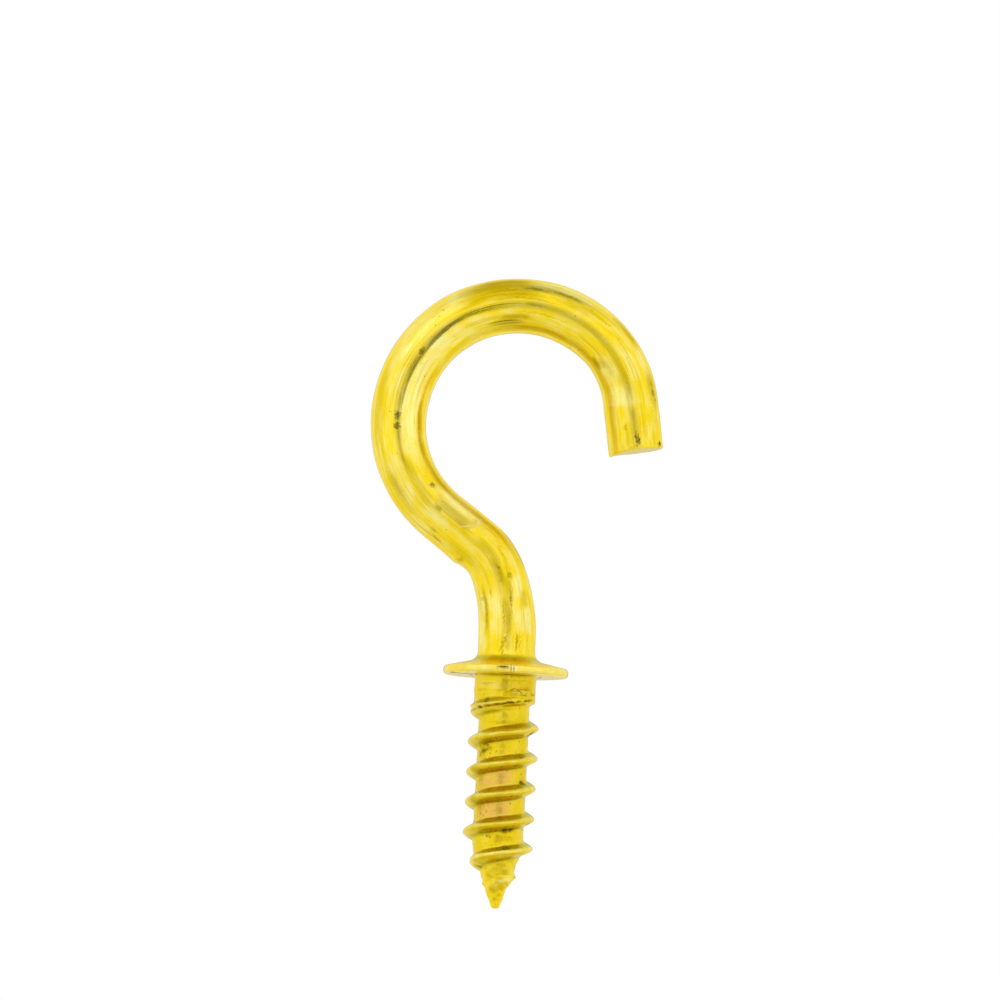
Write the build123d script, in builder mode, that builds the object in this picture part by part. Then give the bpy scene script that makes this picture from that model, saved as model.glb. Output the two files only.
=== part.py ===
from build123d import *
import os
from math import cos, radians, sin

# The wire that the whole cup hook is pressed, rolled and bent from
wire_diameter = 3.05
end_bevel = 0.1

# The screw below the collar: plain shank, rolled core and drawn-out point
screw_length = 12.86
shank_diameter = 3.38
shank_length = 1.4
shank_run_out = 0.25
shank_flare = 0.26
core_diameter = 2.78
point_length = 3.33
tip_diameter = 0.46
tip_bevel = 0.1

# The coarse right-hand wood thread: it rises out of the shank and dies out on the point
thread_diameter = 3.84
thread_pitch = 1.67
thread_root_width = 0.72
thread_crest_width = 0.15
thread_root_sink = 0.25
thread_end_bury = 0.05
thread_start_rise = 0.61
thread_end_gap = 1.1
thread_start_angle = 90
thread_run_in_turns = 0.75
thread_run_out_turns = 1.26
sections_per_turn = 8

# The collar pressed up from the wire: flat seat, bevelled rim, coned top
collar_diameter = 6.91
collar_edge = 0.46
collar_rise = 0.445
collar_bevel = 0.14
collar_bevel_limit_share = 0.45
neck_fillet = 0.7

# The bends of the hook's centreline, from the seat upwards
neck_length = 2.685
lean_radius = 8.72
lean_angle = 19.2
elbow_radius = 3.39
elbow_angle = 34.5
riser_length = 2.56
crown_radius = 6.61
crown_angle = 181.9
nose_radius = 5.81
nose_angle = 43.2
nose_length = 2.78

wire_radius = wire_diameter / 2
shank_radius = shank_diameter / 2
core_radius = core_diameter / 2
tip_radius = tip_diameter / 2
collar_radius = collar_diameter / 2
rim_bevel = min(collar_bevel, collar_bevel_limit_share * collar_edge)
collar_slope = collar_rise / (collar_radius - wire_radius)
point_top = point_length - screw_length

# Turned outline from the tip to the neck: radius, height, rounding of the corner
turned_outline = [
    (tip_radius - tip_bevel, -screw_length, 0),
    (tip_radius, tip_bevel - screw_length, 0),
    (core_radius, point_top, 0),
    (core_radius, -shank_length - shank_run_out, 0),
    (shank_radius, -shank_length, 0),
    (shank_radius, -shank_flare, 0),
    (shank_radius + shank_flare, 0, 0),
    (collar_radius - rim_bevel, 0, 0),
    (collar_radius, rim_bevel, 0),
    (collar_radius, collar_edge - rim_bevel, 0),
    (collar_radius - rim_bevel, collar_edge + rim_bevel * collar_slope, 0),
    (wire_radius, collar_edge + collar_rise, neck_fillet),
]
corners = [(radius, height) for radius, height, rounding in turned_outline]
roundings = [rounding for radius, height, rounding in turned_outline]

# The thread's ridge runs downwards and clockwise, so that the hook turns in to the right
thread_depth = (thread_diameter - core_diameter) / 2
thread_start = thread_start_rise - shank_length
thread_turns = (thread_start + screw_length - thread_end_gap) / thread_pitch
full_turns = thread_turns - thread_run_in_turns - thread_run_out_turns
full_stretches = max(1, round(full_turns))
stretch_bounds = [thread_run_in_turns + full_turns * k / full_stretches for k in range(full_stretches + 1)]
stretch_bounds = [0, *stretch_bounds, thread_turns]


def core_radius_at(height):
    """Radius of the core, which tapers evenly along the point."""
    taper_share = max(0, point_top - height) / point_length
    return core_radius + (tip_radius - core_radius) * taper_share


def ridge_section(turn):
    """Plane through the axis and the four corners of the ridge after a number of turns."""
    height = thread_start - thread_pitch * turn
    angle = radians(thread_start_angle - 360 * turn)
    plane = Plane((0, 0, height), x_dir=(cos(angle), sin(angle), 0), z_dir=(sin(angle), -cos(angle), 0))
    grown_share = min(1, turn / thread_run_in_turns, (thread_turns - turn) / thread_run_out_turns)
    crest_rise = (thread_depth + thread_end_bury) * grown_share - thread_end_bury
    root = core_radius_at(height) - thread_root_sink
    crest = core_radius_at(height) + crest_rise
    flank_spread = (thread_root_width - thread_crest_width) / thread_depth
    half_crest = thread_crest_width / 2
    half_root = half_crest + flank_spread * (crest - root) / 2
    return plane, [(root, -half_root), (crest, -half_crest), (crest, half_crest), (root, half_root)]


with BuildPart() as cup_hook:
    # Point, core, shank, collar and the foot of the neck, turned about the screw's axis
    with BuildSketch(Plane.XZ):
        with BuildLine():
            FilletPolyline((0, -screw_length), *corners, (wire_radius, neck_length), radius=roundings)
            Polyline((wire_radius, neck_length), (0, neck_length), (0, -screw_length))
        make_face()
    revolve(axis=Axis.Z)

    # Neck, S bend, crown and nose: the round wire carried along straight runs and arcs
    with BuildLine(Plane.XZ) as centreline:
        lean = JernArc((0, neck_length), (0, 1), lean_radius, lean_angle)
        elbow = JernArc(lean @ 1, lean % 1, elbow_radius, elbow_angle)
        riser = Line(elbow @ 1, elbow @ 1 + elbow % 1 * riser_length)
        crown = JernArc(riser @ 1, riser % 1, crown_radius, -crown_angle)
        nose = JernArc(crown @ 1, crown % 1, nose_radius, -nose_angle)
        Line(nose @ 1, nose @ 1 + nose % 1 * nose_length)
    with BuildSketch(Plane.XY.offset(neck_length)):
        Circle(wire_radius)
    sweep(path=centreline.wire())

    # Sheared end of the nose with its edge broken
    cut_end = cup_hook.faces().filter_by(GeomType.PLANE).sort_by(Axis.X)[-1]
    chamfer(cut_end.edges(), end_bevel)

    # Thread: ridge sections lofted through the run-in, each full turn and the run-out
    for first_turn, last_turn in zip(stretch_bounds, stretch_bounds[1:]):
        steps = max(2, round((last_turn - first_turn) * sections_per_turn))
        for step in range(steps + 1):
            section_plane, section_corners = ridge_section(first_turn + (last_turn - first_turn) * step / steps)
            with BuildSketch(section_plane):
                with BuildLine():
                    Polyline(*section_corners, close=True)
                make_face()
        loft()

cup_hook.part.label = "cup_hook"
os.makedirs("parts", exist_ok=True)
export_step(cup_hook.part, "parts/cup_hook.step")
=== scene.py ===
import math

import bpy
import numpy as np
from mathutils import Matrix, Vector


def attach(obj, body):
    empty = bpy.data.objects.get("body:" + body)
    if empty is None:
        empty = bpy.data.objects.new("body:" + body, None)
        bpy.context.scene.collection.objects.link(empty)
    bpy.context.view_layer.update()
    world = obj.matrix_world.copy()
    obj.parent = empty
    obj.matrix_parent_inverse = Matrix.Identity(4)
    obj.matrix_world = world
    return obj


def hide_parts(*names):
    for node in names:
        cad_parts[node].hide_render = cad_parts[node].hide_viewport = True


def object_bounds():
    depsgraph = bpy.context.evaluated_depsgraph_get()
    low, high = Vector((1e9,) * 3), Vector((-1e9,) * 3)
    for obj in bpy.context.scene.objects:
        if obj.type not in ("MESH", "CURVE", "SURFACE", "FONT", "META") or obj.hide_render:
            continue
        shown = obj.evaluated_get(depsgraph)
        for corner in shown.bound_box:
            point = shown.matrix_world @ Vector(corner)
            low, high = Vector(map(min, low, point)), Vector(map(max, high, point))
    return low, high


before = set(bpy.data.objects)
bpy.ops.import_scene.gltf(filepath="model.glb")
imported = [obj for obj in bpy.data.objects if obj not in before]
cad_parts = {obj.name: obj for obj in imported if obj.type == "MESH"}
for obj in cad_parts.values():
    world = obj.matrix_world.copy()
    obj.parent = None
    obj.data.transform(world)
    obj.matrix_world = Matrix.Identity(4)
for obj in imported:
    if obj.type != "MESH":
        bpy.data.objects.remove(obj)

radian = 57.3  # degrees
mm = 0.001  # shapes below are in millimetres and become metres where the mesh is made
cadBox = [list(corner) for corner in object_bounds()]
print("cup hook: frame loaded, CAD box", cadBox)


# Wire: the hook's own bends, from the seat up to the sheared end
wire = {
    "radius": 1.525,
    "filletTop": 1.5,  # where the neck's round wire starts
    "endRound": 0.12,
    "runs": [  # bend radius (0 is straight), then turn in degrees to the left or length
        (0, 2.685), (8.72, 19.2), (3.39, 34.5), (0, 2.56), (6.61, -181.9), (5.81, -43.2), (0, 2.78),
    ],
    # swellings and hollows: angle (0 faces the eye, -90 the front, 180 the outside) and its reach,
    # distance along the wire and its reach, height
    "swells": [
        (-90, 400, 2.3, 1.7, 0.075), (180, 45, 6.9, 1.0, -0.06), (0, 50, 6.3, 1.1, -0.05),
        (0, 60, 18.2, 2.6, 0.05), (180, 60, 11.0, 2.0, -0.04), (180, 60, 23.2, 1.6, 0.04),
        (180, 50, 29.6, 1.4, 0.04), (0, 50, 32.8, 1.8, -0.04), (180, 60, 16.4, 3.0, -0.012),
        (180, 60, 26.8, 3.0, -0.012),
    ],
    "waviness": 0.006,
    "creased": (1.0, 6.5),  # golden lines that start between these are creases too
    "creaseDepth": 0.02,
    "creaseRunOut": 0.4,
    "creaseJag": 1.3,
    "drawnFrom": (1.0, 1.4),  # where the drawn surface begins and ends
    "neckDrawnFrom": (0.95, 1.4),
    "drawnStop": 0.15,
    # flat pressed by the bending tool on the front of the riser, with a lip at its lower end
    "flat": {"angle": -62, "middle": 9.85, "half": 1.5, "depth": 0.14, "steepest": 75, "blend": 0.03,
             "lip": 0.02, "lipWidth": 0.012, "lipAt": 0.98, "lipReach": 0.12},
    # small ledge on the outside, where the bending tool stopped
    "ledge": {"angle": 180, "reach": 40, "at": 8.02, "rise": 0.06, "run": 0.55, "edge": 0.06},
    # burr that the shear drew out along the wire, on the eye's side
    "burr": {"angle": -14, "reach": 40, "length": 0.2, "start": 0.5, "uneven": 0.012},
}

# Screw: shank, core, thread and point, all heights from the seat
screw = {
    "length": -cadBox[0][2] / mm,
    "shankRadius": 1.69,
    "shankEnd": -1.42,
    "shankStep": 0.25,
    "shankSlant": 0.11,  # the shank ends lower on the hook's outer side
    "shankTop": (-0.35, -0.2),  # lumps fade out up to here, under the collar
    "coreRadius": 1.39,
    "pointTop": -9.53,
    "pointBlend": 0.1,
    "tipRadius": 0.23,
    "tipRise": 0.1,
    "pitch": 1.67,
    "depth": 0.56,
    "rootAbove": 0.43,  # from the crest line to the root, on either side
    "rootBelow": 0.40,
    "crestHalf": 0.12,
    "crestBlend": 0.45,
    "rootBlend": 0.3,
    "firstCrest": -1.17,  # height of the ridge on the hook's open side, at the start
    "joinHeight": 0.12,  # the ridge leaves the shank over this height, lumps over the next
    "clearHeight": 0.1,
    "runIn": (0.52, 1.15),  # turns over which the ridge rises
    "fullUntil": -9.5,
    "gone": -12.2,
    "wobble": 0.02,
    "uneven": 0.04,
    "bow": 0.085,  # the upper part of the screw stands this far off its line
    "bowRise": (-11, -2),
    "bowFade": (1.5, 5.5),
    "bowUntil": 8,  # distance along the wire
    # crack along the first, half-rolled ridge, and the turns where it opens and closes
    "fold": {"depth": 0.13, "width": 0.055, "drop": 0.02, "jag": 0.03,
             "start": (0.5, 0.58), "stop": (0.98, 1.06)},
    # rough skin of the core, rougher on the point, smooth at the tip
    "rough": {"core": 0.008, "point": 0.036, "start": (-9.4, -10.6), "stop": (-12.4, -12.75)},
    # lumps and hollows: angle and its reach, height and its reach, rise
    "bumps": [
        (-66, 15, -1.00, 0.15, 0.10), (-45, 12, -0.84, 0.13, 0.09), (-24, 12, -1.02, 0.13, 0.08),
        (-84, 9, -1.08, 0.10, 0.06), (-52, 7, -1.02, 0.07, -0.07), (-100, 10, -0.70, 0.10, 0.03),
        (-128, 12, -0.45, 0.10, -0.03), (-118, 25, -1.16, 0.09, -0.03), (-165, 20, -0.80, 0.16, 0.05),
        (0, 20, -11.1, 0.12, 0.10), (180, 16, -11.54, 0.08, 0.07), (-60, 25, -10.05, 0.15, -0.03),
    ],
    # pits and chips: angle, height, reach, strength
    "pits": [
        (-138, -4.2, 0.20, 1.0), (-120, -4.05, 0.14, 0.6), (-112, -8.92, 0.12, 0.5), (-75, -8.60, 0.20, 1.3),
        (-62, -8.55, 0.16, 1.2), (-29, -3.2, 0.18, 1.4), (-35, -5.9, 0.18, 1.4), (-28, -8.15, 0.10, 0.7),
        (176, -11.54, 0.10, 0.8), (-12, -11.1, 0.12, 0.6), (-150, -10.6, 0.12, 0.6),
        (-131, -10.7, 0.09, 0.5), (-60, -10.05, 0.10, 0.4), (-50, -12.45, 0.07, 0.6),
    ],
    "pitDepth": 0.06,
}

# Marks on the brass: angle, half width, start and end along the wire (heights on the screw), strength,
# and lean in degrees for each millimetre along; spots and golds are ragged, dark and pale lines straight
marks = {
    "spots": [  # dark spots and cracks; those near -90 along the wire are the painted reflection of the dark lens
        (-91, 6.5, 15.70, 16.16, 0.9), (-91, 7.5, 16.24, 16.76, 0.9), (-87.5, 7.0, 20.12, 20.66, 0.8),
        (-89, 4.5, 26.9, 28.3, 0.45), (-125, 4.0, 26.7, 28.2, 0.6), (-128, 4.5, 28.0, 29.9, 0.5),
        (-92, 3.6, 37.3, 38.25, 1.0), (-97, 3.2, 37.5, 38.2, 1.0), (-150, 8.0, 37.96, 38.32, 1.0),
        (-72, 5.0, 36.95, 37.3, 0.3), (-147, 4.0, 34.7, 35.1, 0.22), (-152, 5.0, 35.2, 35.6, 0.22),
        (-59, 8.0, 11.70, 12.12, 0.7, -15), (-84, 7.0, 10.42, 10.82, 0.3), (-128, 4.0, 9.96, 10.28, 0.2),
        (-142, 3.0, 9.4, 10.0, 0.22), (-85, 1.6, 2.6, 4.2, 0.25, 2), (-77, 1.6, 3.6, 5.4, 0.3, 4),
        (-70, 1.6, 1.2, 2.5, 0.15), (-92, 1.6, 1.2, 2.5, 0.15, 14), (-89, 5.0, 5.85, 6.1, 0.4),
        (-70, 6.0, 5.2, 5.55, 0.4), (-98, 3.0, 1.06, 1.36, 0.4), (-92, 7.0, 1.0, 1.14, 0.3),
        (-79, 10.0, -1.60, -1.44, 1.0), (-76, 3.0, -0.93, -0.70, 0.35, 59),
        (-63, 3.0, -1.08, -0.70, 0.4, -50), (-52, 11.0, -1.14, -1.04, 0.35), (-50, 14.0, -0.86, -0.74, 0.4),
        (-27, 9.0, -1.10, -0.96, 0.4),
    ],
    "darkLines": [  # thin dark lines; near -90 they are the painted reflection of the dark lens, at -152 painted shade under the collar
        (-84.5, 3.2, 16.9, 21.6, 0.65), (-85.0, 4.0, 19.6, 23.7, 0.8, -1.4), (-89, 1.8, 22.6, 26.9, 0.7),
        (-98, 1.2, 15.8, 21.5, 0.35), (-135, 1.8, 27.1, 28.8, 0.35), (-46, 1.6, 24.9, 27.2, 0.55),
        (-53, 1.9, 24.5, 26.9, 0.7), (-92.5, 6.5, 0.24, 0.40, 1.0), (-152, 7.0, -0.05, 0.05, 1.0),
        (-85.2, 0.7, -0.1, 0.55, 0.6), (-82.6, 0.7, -0.1, 0.55, 0.6),
    ],
    "golds": [  # golden-brown lines and blotches
        (-88, 6, 2.4, 4.1, 0.3), (-96, 1.8, 2.4, 4.2, 0.9, 1), (-80, 1.8, 2.6, 4.6, 0.8, 3),
        (-76, 2.0, 3.7, 5.3, 0.8, 5), (-71, 2.0, 4.0, 5.4, 0.5, 5), (-70, 2.4, 1.1, 2.5, 0.9),
        (-64, 2.0, 1.1, 2.6, 0.6), (-96, 2.6, 1.1, 2.6, 0.9, 14), (-72, 4.0, 5.1, 6.1, 0.5),
        (-88, 4.0, 4.9, 6.2, 0.5), (-64, 3.0, 6.1, 7.0, 0.6), (-36, 4.0, 6.6, 14.5, 0.5),
        (-135, 3.6, 2.4, 4.9, 0.8), (-140, 10, 4.25, 4.6, 0.6), (-119, 3.0, 4.2, 5.0, 0.6, 6),
        (-150, 14, 7.7, 8.15, 0.6), (-142, 5.0, 9.2, 10.1, 0.6), (-128, 6.0, 9.8, 10.4, 0.5),
        (-80, 9.0, 8.55, 9.6, 0.5), (-128, 7, 12.0, 13.6, 0.5), (-120, 4, 24.6, 27.6, 0.7),
        (-110, 2.6, 24.2, 27.9, 0.7), (-101, 2.4, 25.0, 29.0, 0.6), (-146, 8, 24.4, 27.0, 0.7),
        (-62, 5, 25.5, 27.3, 0.6), (-72, 2.0, 26.0, 30.0, 0.4), (-43, 8, 32.2, 33.2, 0.8),
        (-56, 6.0, 32.5, 33.4, 0.6), (-66, 6, 32.9, 34.2, 0.4), (-91, 6, 33.6, 35.6, 0.4),
        (-90, 5, 35.9, 36.9, 0.5), (-150, 7, 31.5, 33.2, 0.6), (-140, 9, 34.3, 35.9, 0.5),
        (-120, 5, 30.0, 31.6, 0.4), (-91, 7, -1.1, 0.05, 0.5), (-90, 5, -1.2, -0.7, 0.5),
        (-76, 3.0, -0.93, -0.70, 0.9, 59), (-63, 3.0, -1.08, -0.70, 0.9, -50), (-68, 2.2, -1.13, -0.90, 0.7),
        (-46, 3.0, -1.10, -0.92, 0.7, 15), (-52, 12, -1.14, -1.05, 0.7), (-33, 4.0, -1.10, -0.85, 0.5, -30),
        (-112, 9, -1.48, -1.20, 0.7, 240), (-140, 9, -4.4, -3.7, 0.7), (-125, 4, -4.3, -3.6, 0.6),
        (-141, 8, -5.9, -5.2, 0.8), (-131, 4, -5.7, -5.1, 0.7), (-141, 8, -7.6, -6.9, 0.8),
        (-129, 4, -7.5, -6.8, 0.7), (-117, 3, -7.3, -6.8, 0.5), (-74, 9, -1.3, -0.9, 0.5),
        (-125, 25, -0.55, -0.42, 0.4), (-60, 30, -0.36, -0.24, 0.4), (-100, 14, -0.95, -0.80, 0.4),
        (-140, 16, -0.95, -0.75, 0.4), (-62, 4, -1.0, -0.5, 0.4, 30), (-70, 60, -2.75, -2.5, 0.5),
        (-110, 20, -8.7, -8.4, 0.6), (-75, 25, -9.2, -8.8, 0.5), (-80, 16, -10.6, -10.3, 0.5),
        (-60, 14, -10.95, -10.7, 0.6), (-110, 18, -11.95, -11.7, 0.6), (-75, 22, -11.55, -11.35, 0.6),
        (-95, 20, -12.5, -12.25, 0.6), (-60, 20, -12.2, -12.0, 0.5), (-120, 14, -11.2, -11.0, 0.5),
        (-70, 35, -11.02, -10.9, 0.7, 0),
    ],
    "paleLines": [  # thin pale lines; those on the collar's front, between the dark lines, are painted reflection
        (-36, 1.8, 8.5, 11.0, 0.5), (-50, 14, 8.30, 8.50, 0.55), (-74, 3.0, 8.34, 9.1, 0.55, -38),
        (-75, 45, 35.55, 35.9, 0.25), (-86.5, 0.8, -0.1, 0.55, 0.7), (-83.9, 0.8, -0.1, 0.55, 0.7),
        (-81.2, 0.8, -0.1, 0.55, 0.7),
    ],
}
# Broad tints: angle, half width, start and end along the wire (heights on the screw), strength
tints = {
    "paleAndHighlight": [  # pale, rubbed brass, with painted highlights among them, such as the band round the collar's rim
        (-65, 20, 14.8, 22.6, 1.0), (-62, 14, 22.4, 24.6, 0.5), (-106, 12, 16.5, 21.5, 0.4),
        (-128, 24, 19.3, 23.9, 0.6), (-146, 12, 13.6, 15.1, 0.7), (-142, 15, 27.4, 30.2, 1.0),
        (-148, 14, 30.2, 32.0, 0.5), (-110, 13, 33.0, 34.6, 0.9), (-145, 14, 33.2, 34.7, 0.7),
        (-70, 34, 34.6, 35.8, 0.7), (-62, 22, 32.8, 34.6, 0.4), (-65, 14, 2.4, 3.5, 0.7),
        (-42, 9, 2.4, 3.6, 1.0), (-60, 13, 4.2, 5.3, 1.0), (-112, 16, 2.4, 4.8, 0.6),
        (-150, 13, 1.4, 4.4, 1.0), (-46, 12, 8.9, 11.6, 0.8), (-103, 9, 9.7, 11.3, 0.7),
        (-114, 20, 11.8, 14.2, 0.6), (-145, 14, 10.3, 11.4, 0.9), (-90, 400, 0.10, 0.42, 0.75),
        (-112, 40, -0.75, -0.40, 0.4), (-67, 8, -1.04, -0.80, 0.9), (-50, 8, -1.05, -0.86, 0.8),
    ],
    "amber": [  # golden tarnish, and painted shade along the wire's front edge on the eye's side
        (-36, 9, 6.4, 13.9, 1.0), (-38, 9, 13.7, 17.3, 1.0), (-31, 11, 18.5, 25.0, 0.5),
        (-88, 8, 2.4, 4.2, 0.6), (-79, 5, 3.9, 5.4, 0.8), (-135, 6, 2.4, 5.0, 0.8), (-48, 9, 3.7, 4.5, 0.7),
        (-88, 9, 5.0, 6.4, 0.7), (-130, 11, 6.4, 9.0, 0.4), (-130, 13, 11.4, 13.9, 0.5),
        (-138, 13, 15.2, 19.0, 0.5), (-112, 14, 23.6, 27.6, 1.0), (-138, 22, 24.0, 27.2, 1.0),
        (-62, 7, 25.4, 27.4, 0.9), (-33, 9, 25.2, 35.0, 1.0), (-43, 8, 32.2, 33.2, 1.0),
        (-112, 8, 28.8, 30.6, 0.6), (-150, 11, 31.4, 33.1, 0.6), (-42, 9, 34.0, 38.2, 0.7),
        (-85, 7, 33.0, 35.6, 0.5), (-90, 400, -10.4, -0.05, 0.4), (-60, 50, -1.4, -0.05, 0.6),
        (-60, 45, -3.2, -2.0, 0.5), (-142, 15, -6.2, -4.9, 0.9), (-142, 15, -8.0, -6.6, 0.9),
        (-30, 22, -6.2, -4.9, 0.6), (-95, 50, -9.2, -8.0, 0.5), (-80, 50, -11.9, -10.0, 0.4),
    ],
    "hazeAndReflection": [  # dull olive patches, and along the front near -90 the painted reflection of the dark lens
        (-91, 8, 15.8, 23.8, 0.4), (-90, 8, 25.0, 33.0, 0.5), (-72, 15, 8.7, 11.0, 0.75),
        (-84, 6, 10.4, 10.9, 0.8), (-14, 12, 5.7, 7.2, 0.8), (-84, 10, 6.2, 7.8, 0.45),
        (-82, 8, 11.4, 13.9, 0.4), (-127, 8, 26.8, 30.0, 0.7), (-150, 9, 34.4, 36.1, 0.5),
        (-50, 6, 24.8, 26.8, 0.6), (-93, 7, 36.1, 37.6, 0.6), (-150, 20, -4.7, -3.5, 0.4),
        (-91, 8, -8.0, -6.6, 0.5), (-90, 8, -6.2, -4.9, 0.25), (-90, 400, -10.4, -0.05, 0.15),
    ],
    "copper": [  # reddish patches between the ridges
        (-106, 48, -6.3, -4.7, 1.0), (-104, 46, -8.1, -6.4, 1.0),
    ],
    "crackle": [  # pitted skin of the rolled screw
        (-112, 60, 31.6, 36.2, 0.12), (-148, 14, 34.2, 35.9, 0.7), (-140, 35, -4.8, -3.5, 1.0),
        (-150, 25, -6.3, -4.9, 0.7), (-135, 25, -8.1, -6.5, 0.7), (-60, 25, -7.4, -6.5, 0.5),
        (-100, 60, -9.2, -8.1, 0.6), (-90, 400, -13.0, -10.2, 0.3), (-60, 45, -1.4, -0.5, 0.35),
        (-90, 400, -10.2, -0.1, 0.4),
    ],
}
# Finishes beside the tints, at their plain values
plainFinish = {"streak": 0.0, "paintedShade": 0.0, "scuff": 0.0, "polish": 0.45, "drawing": 0.0}

# Collar pressed up from the wire
collar = {
    "radius": cadBox[1][1] / mm,
    "edge": 0.46,
    "rise": 0.445,
    "rimRound": 0.2,
    "flare": 0.26,
    "neckFillet": 0.7,
}

# How finely the surfaces are divided
grid = {
    "around": 144,
    "turns": 7.5,
    "fine": 0.085,
    "coarse": 0.17,
    "fineUntil": 11.5,  # fine rows up to here along the wire, and again before the end
    "fineEnd": 3.5,
    "endRows": 42, "edgeRows": 6, "lidRows": 14, "taperRows": 12, "tipRows": 7, "arcRows": 7,
    "ribbonRows": (6, 7, 5, 8, 6),  # over root, flank, crest, flank and root
}

around = grid["around"]
angles = math.pi - 2 * math.pi * np.arange(around) / around  # from the hook's back, clockwise from above


# soft minimum: the lower of two values, with the corner between them rounded over a width
def softMin(a, b, width):
    h = np.maximum(width - np.abs(a - b), 0) / width
    return np.minimum(a, b) - h * h * width / 4


# smooth step: 0 below low, 1 above high, an S curve between
def smoothStep(low, high, x):
    t = np.clip((x - low) / (high - low), 0, 1)
    return t * t * (3 - 2 * t)


# hump: 1 at the middle, falling as a bell curve with the given reach
def hump(x, reach):
    return np.exp(-(x / reach) ** 2)


# wrapped angle difference in degrees, between -180 and 180
def angleFrom(phi, degrees):
    return (np.degrees(phi) - degrees + 180) % 360 - 180


# ripple: sum of sine waves along the wire times whole waves around it, so that it closes on itself
def ripple(along, phi, seed, waves, lowest, highest, mostAround):
    rng = np.random.default_rng(seed)
    total = 0
    for k in range(waves):
        rate = rng.uniform(lowest, highest)
        turns = rng.integers(0, mostAround + 1)
        shift, twist = rng.uniform(0, 2 * math.pi, 2)
        total = total + np.sin(along * rate + shift) * np.cos(phi * turns + twist)
    return total / math.sqrt(waves)


# tint: the strongest of its patches at each place, front or back, each a plateau with soft sides and ends
def tintAt(kind, along, phi):
    total = 0 * (along + phi)
    for angle, half, start, stop, strength in tints[kind]:
        soft = 0.22 * (stop - start)
        apart = np.minimum(np.abs(angleFrom(phi, angle)), np.abs(angleFrom(-phi, angle)))
        across = 1 - smoothStep(0.4 * half, 1.3 * half, apart)
        begun = smoothStep(start - soft, start + soft, along)
        within = begun * (1 - smoothStep(stop - soft, stop + soft, along))
        total = np.maximum(total, strength * across * within)
    return total


# finish: every tint at each place, with the other finishes at their plain values
def finishAt(along, phi):
    finish = {kind: tintAt(kind, along, phi) for kind in tints}
    for name, plain in plainFinish.items():
        finish[name] = plain + 0 * finish["paleAndHighlight"]
    return finish


# bumps: the sum of all lumps and hollows, each a bell curve in angle and height
def bumpAt(z, phi):
    return sum(rise * hump(angleFrom(phi, angle), reach) * hump(z - height, tall)
               for angle, reach, height, tall, rise in screw["bumps"])


# wire line: straight runs and arcs laid end to end; gives x, z and heading at each distance from the seat
def wireLine(distance):
    starts, place, heading, reached = [], np.zeros(2), math.pi / 2, 0.0
    for bend, amount in wire["runs"]:
        turn = math.radians(amount) if bend else 0.0
        length = bend * abs(turn) if bend else amount
        starts.append((reached, place[0], place[1], heading, turn / length))
        after = heading + turn
        if turn:
            step = np.array([math.sin(after) - math.sin(heading), math.cos(heading) - math.cos(after)])
            place = place + step / (turn / length)
        else:
            place = place + length * np.array([math.cos(heading), math.sin(heading)])
        heading, reached = after, reached + length
    table = np.array(starts)
    run = np.clip(np.searchsorted(table[:, 0], distance, side="right") - 1, 0, len(table) - 1)
    s0, x0, z0, h0, bendRate = table[run].T
    along = distance - s0
    h = h0 + bendRate * along
    safe = np.where(bendRate == 0, 1, bendRate)
    x = x0 + np.where(bendRate == 0, along * np.cos(h0), (np.sin(h) - np.sin(h0)) / safe)
    z = z0 + np.where(bendRate == 0, along * np.sin(h0), (np.cos(h0) - np.cos(h)) / safe)
    return x, z, h, reached


# straight rows: evenly spaced points strictly between two ends
def straightRows(start, end, gap):
    count = max(1, int(round(np.linalg.norm(end - start) / gap)))
    t = np.linspace(0, 1, count + 1)[1:-1, None]
    return start + (end - start) * t


# rounded outline: each corner of a radius and height line becomes an arc of its own rounding
def roundedOutline(corners, gap):
    points = np.array([c[:2] for c in corners], float)
    rows = [points[:1]]
    for k in range(1, len(points) - 1):
        before, here, after = points[k - 1], points[k], points[k + 1]
        rounding = corners[k][2]
        a = (before - here) / np.linalg.norm(before - here)
        b = (after - here) / np.linalg.norm(after - here)
        half = math.acos(np.clip(a @ b, -1, 1)) / 2
        reach = rounding / math.tan(half)
        centre = here + (a + b) / np.linalg.norm(a + b) * rounding / math.sin(half)
        t = np.linspace(0, 1, grid["arcRows"])[:, None]
        bow = here + a * reach * (1 - t) ** 2 + b * reach * t ** 2
        arc = centre + (bow - centre) / np.linalg.norm(bow - centre, axis=1)[:, None] * rounding
        rows += [straightRows(rows[-1][-1], arc[0], gap), arc]
    rows.append(straightRows(rows[-1][-1], points[-1], gap))
    rows.append(points[-1:])
    return np.concatenate(rows)


# core radius: plain shank, a step down to the core, then an even taper along the point
def coreRadius(z, phi):
    pointLength = screw["pointTop"] + screw["length"] - screw["tipRise"]
    slope = (screw["coreRadius"] - screw["tipRadius"]) / pointLength
    taper = screw["coreRadius"] + (z - screw["pointTop"]) * slope
    core = softMin(screw["coreRadius"], taper, screw["pointBlend"])
    end = screw["shankEnd"] - screw["shankSlant"] * (1 - np.cos(phi))
    return core + (screw["shankRadius"] - core) * smoothStep(end - screw["shankStep"], end, z)


# bow: sideways stand-off of the screw and collar, nothing at the point and above the neck
def bowAt(z):
    return screw["bow"] * smoothStep(*screw["bowRise"], z) * (1 - smoothStep(*screw["bowFade"], z))


# thread ridge: a flat crest and straight flanks by the distance from the crest line, with soft corners
def ridgeShape(d):
    root = np.where(d > 0, screw["rootAbove"], screw["rootBelow"])
    flank = (root - np.abs(d)) / (root - screw["crestHalf"])
    return -softMin(-softMin(flank, 1.0, screw["crestBlend"]), 0.0, screw["rootBlend"])


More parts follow.
